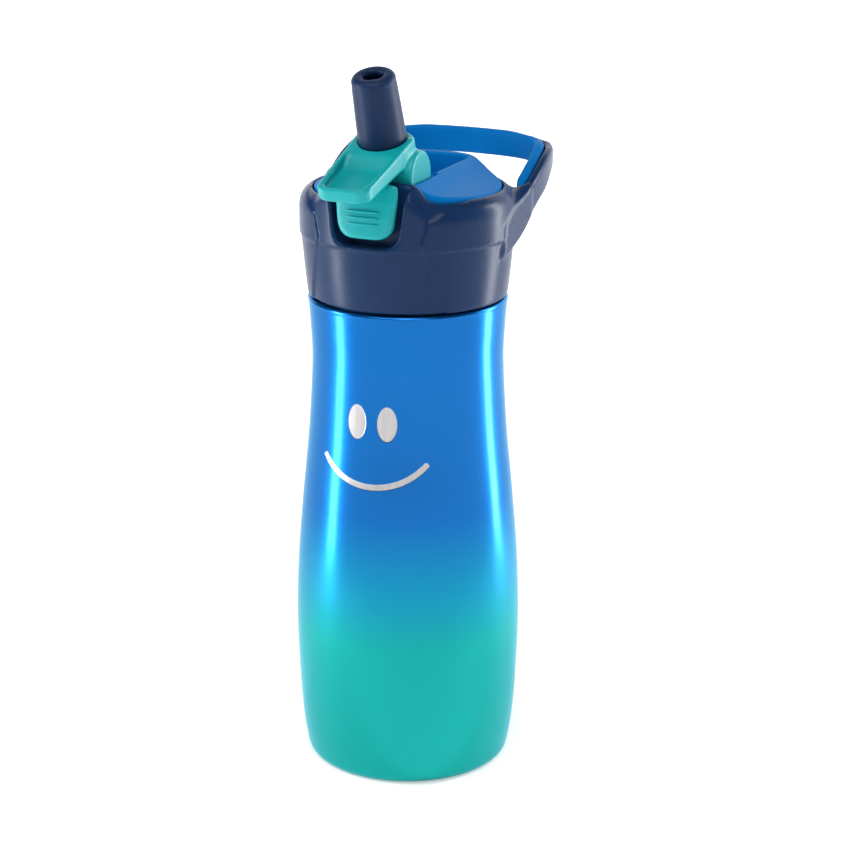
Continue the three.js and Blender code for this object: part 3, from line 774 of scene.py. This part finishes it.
def makeLever(sizes):
    low, high = (-12.5, -35, -9.5), (12.5, 10.5, 13)
    step = sizes["step"]
    x, y, z = sampleSpace(low, high, step)
    forward = -y
    wide = np.abs(x)
    around = np.sqrt(y * y + z * z)
    drum = blendMax(around - sizes["drum"], wide - sizes["drumHalf"], 1.0)
    taper = (sizes["sideHalf"] - sizes["frontHalf"]) / (sizes["frontT"] - 8)
    plan = wide - sizes["sideHalf"] + taper * np.maximum(forward - 8, 0)
    plan = blendMax(plan, forward - sizes["frontT"], 4.0)
    under = np.interp(forward, *zip(*sizes["under"]))
    slab = blendMax(blendMax(plan, z - sizes["rimN"], 0.9), under - z, 1.6)
    slab = blendMax(slab, -forward - 2, 1.0)
    stem = np.sqrt(x * x + y * y)
    collar = blendMax(blendMax(stem - sizes["collar"], z - sizes["collarN"], 1.0), -z, 1.0)
    cheek = blendMax(blendMax(wide - sizes["sideHalf"], np.abs(y) - 6.5, 6.0), z - sizes["collarN"], 1.2)
    cheek = blendMax(cheek, -z, 1.0)
    body = blendMin(blendMin(drum, slab, 1.5), blendMin(collar, cheek, 0.6), 1.2)
    body = blendMax(body, y - sizes["drum"] + 0.05, 0.3)
    recessPlan = blendMax(plan + sizes["rim"], -(forward - 8.6), 4.0)
    floor = sizes["floorN"] + (sizes["collarN"] + 0.4 - sizes["floorN"]) * ease((16.5 - forward) / 8.5) ** 1.3
    recess = blendMax(recessPlan, floor - z, 1.2)
    body = blendMax(body, -recess, 0.8)

    clear, outer = sizes["postClear"], sizes["postOuter"]  # room that the posts sweep inside the drum's ends
    openPost = -pi / 2 - leanAngle
    foldedPost = openPost + sizes["fold"]
    swept = np.maximum(-sideOf(openPost + pi / 2, y, z) - clear, -sideOf(foldedPost - pi / 2, y, z) - clear)
    ends = blendMin(swept, around - clear, 0.3)
    ends = np.maximum(np.maximum(ends, sizes["postInner"] - wide), wide - outer)
    body = blendMax(body, -ends, 0.5)
    springWell = np.maximum(np.maximum(around - sizes["spring"], sizes["springInner"] - wide), wide - outer)
    body = np.maximum(body, -springWell)
    throat = np.maximum(stem - sizes["bore"], -12 - z)
    seat = np.maximum(stem - sizes["seat"], sizes["seatN"] - z)
    body = blendMax(body, -np.minimum(throat, seat), 0.4)
    piece = solidFrom("spoutLever", body, low, step, "teal", leanPlace)
    settle(piece, "spout", "teal_plastic", "teal", "spout_lever", "drum_cap_left", "drum_cap_right")


mouthpieceSizes = {  # radius and height above the hinge, along the spout
    "foot": [(4.8, 10.9), (7.0, 10.9), (7.35, 11.2), (7.45, 12.0)],
    "side": [(7.4, 13), (7.3, 17), (7.1, 23), (6.85, 29), (6.7, 31)],
    "lipCentre": (5.0, 31.4), "lip": 1.75, "boreCentre": (4.1, 32.1), "boreEdge": 1.05,
    "inside": [(3.05, 30.3), (4.8, 30.3)],
    "tube": [(3.1, -6), (4.3, -6), (4.5, -5.8), (4.5, 29.8), (4.3, 30), (3.1, 30)],
}


def makeMouthpiece(sizes):
    sleeve = sizes["foot"] + [tuple(point) for point in curveThrough(sizes["side"], 16)]
    sleeve += arc(sizes["lipCentre"], sizes["lip"], 0, 90, 8)
    sleeve += arc(sizes["boreCentre"], sizes["boreEdge"], 90, 180, 7) + sizes["inside"]
    piece = revolved("mouthpieceSleeve", sleeve, "silicone", segments=96, place=leanPlace)
    settle(piece, "spout", "navy_silicone", "silicone", "mouthpiece")
    piece = revolved("spoutTube", sizes["tube"], "navy", segments=64, place=leanPlace)
    settle(piece, "spout", "navy_plastic", "navy", "spout_nozzle")


makeLever(leverSizes)
makeMouthpiece(mouthpieceSizes)
print("spout made")


cameraSetup = {"azimuth": 24.0, "elevation": 17.57, "distance": 0.734, "target": (0, 0, 0.1114), "lens": 96.56,
               "shift": 0.02}


def makeCamera(setup):
    data = bpy.data.cameras.new("camera")
    data.lens = setup["lens"]
    data.sensor_width = 36
    data.shift_x = setup["shift"]
    data.clip_start = 0.01
    camera = bpy.data.objects.new("camera", data)
    bpy.context.scene.collection.objects.link(camera)
    a, e = math.radians(setup["azimuth"]), math.radians(setup["elevation"])
    back = Vector((math.sin(a) * math.cos(e), -math.cos(a) * math.cos(e), math.sin(e)))
    camera.location = Vector(setup["target"]) + back * setup["distance"]
    camera.rotation_euler = back.to_track_quat("Z", "Y").to_euler()
    bpy.context.scene.camera = camera


floorSetup = {
    "halfWidth": 3.0, "frontY": -1.6, "backY": 1.0, "bend": 0.35, "rise": 1.3, "bendSteps": 12,
    "nearGlow": colour(0.36, 0.36, 0.36), "farGlow": colour(0.92, 0.92, 0.92), "glowFrom": 0.1, "glowTo": 0.8,
}


def makeFloor(setup):
    back, bend = setup["backY"], setup["bend"]
    profile = [(setup["frontY"], 0.0)]
    profile += [(back + bend * math.sin(t), bend - bend * math.cos(t))
                for t in np.linspace(0, pi / 2, setup["bendSteps"])]
    profile += [(back + bend, setup["rise"])]
    mesh = bpy.data.meshes.new("sweep")
    verts = [(x, y, z) for x in (-setup["halfWidth"], setup["halfWidth"]) for y, z in profile]
    half = len(profile)
    mesh.from_pydata(verts, [], [(i, half + i, half + i + 1, i + 1) for i in range(half - 1)])
    mesh.shade_smooth()
    floor = newObject("sweep", mesh)
    paper = Finish("palePaper", Specular_IOR_Level=0.1, Emission_Strength=1.0, Roughness=0.8)
    away = (paper.x * paper.x + paper.y * paper.y).root()
    away = away.step(setup["glowFrom"], setup["glowTo"])  # the lamps reach less far than the paper
    paper.set(Base_Color=paper.mix(paper.noise(30.0, 3.0) * 0.2, colour(0.84, 0.84, 0.84), colour(0.8, 0.8, 0.8)),
              Emission_Color=paper.mix(away, setup["nearGlow"], setup["farGlow"]))
    mesh.materials.append(paper.material)


lightSetup = [  # name, turn from the camera in degrees, height, distance, width, length, watts
    ("leftStrip", -84, 0.17, 0.30, 0.06, 0.34, 0.8),
    ("rightStrip", 105, 0.17, 0.30, 0.06, 0.34, 0.8),
    ("overhead", -25, 1.20, 0.50, 0.7, 0.7, 6.0),
    ("frontFill", 10, 1.10, 1.20, 0.8, 0.8, 5.0),
]


roomSetup = {"light": 0.12, "seen": 0.88, "aimZ": 0.11}


def makeLights(rows, room):
    for name, turn, height, distance, width, length, watts in rows:
        data = bpy.data.lights.new(name, "AREA")
        data.shape = "RECTANGLE"
        data.size, data.size_y = width, length
        data.energy = watts
        lamp = bpy.data.objects.new(name, data)
        bpy.context.scene.collection.objects.link(lamp)
        a = math.radians(cameraSetup["azimuth"] + turn)
        lamp.location = (distance * math.sin(a), -distance * math.cos(a), height)
        lamp.visible_camera = False
        aim = Vector((0, 0, room["aimZ"])) - lamp.location
        lamp.rotation_euler = aim.to_track_quat("-Z", "Y").to_euler()
    world = bpy.data.worlds.new("softRoom")
    world.use_nodes = True
    tree = world.node_tree
    path = tree.nodes.new("ShaderNodeLightPath")
    seen = Wire(tree, path.outputs["Is Camera Ray"])
    tree.nodes["Background"].inputs["Color"].default_value = (1, 1, 1, 1)
    strength = room["light"] + seen * room["seen"]  # looks pale, lights little
    feed(tree, tree.nodes["Background"].inputs["Strength"], strength)
    bpy.context.scene.world = world
    bpy.context.scene.view_settings.view_transform = "Standard"


makeCamera(cameraSetup)
makeFloor(floorSetup)
makeLights(lightSetup, roomSetup)
print("stage made")
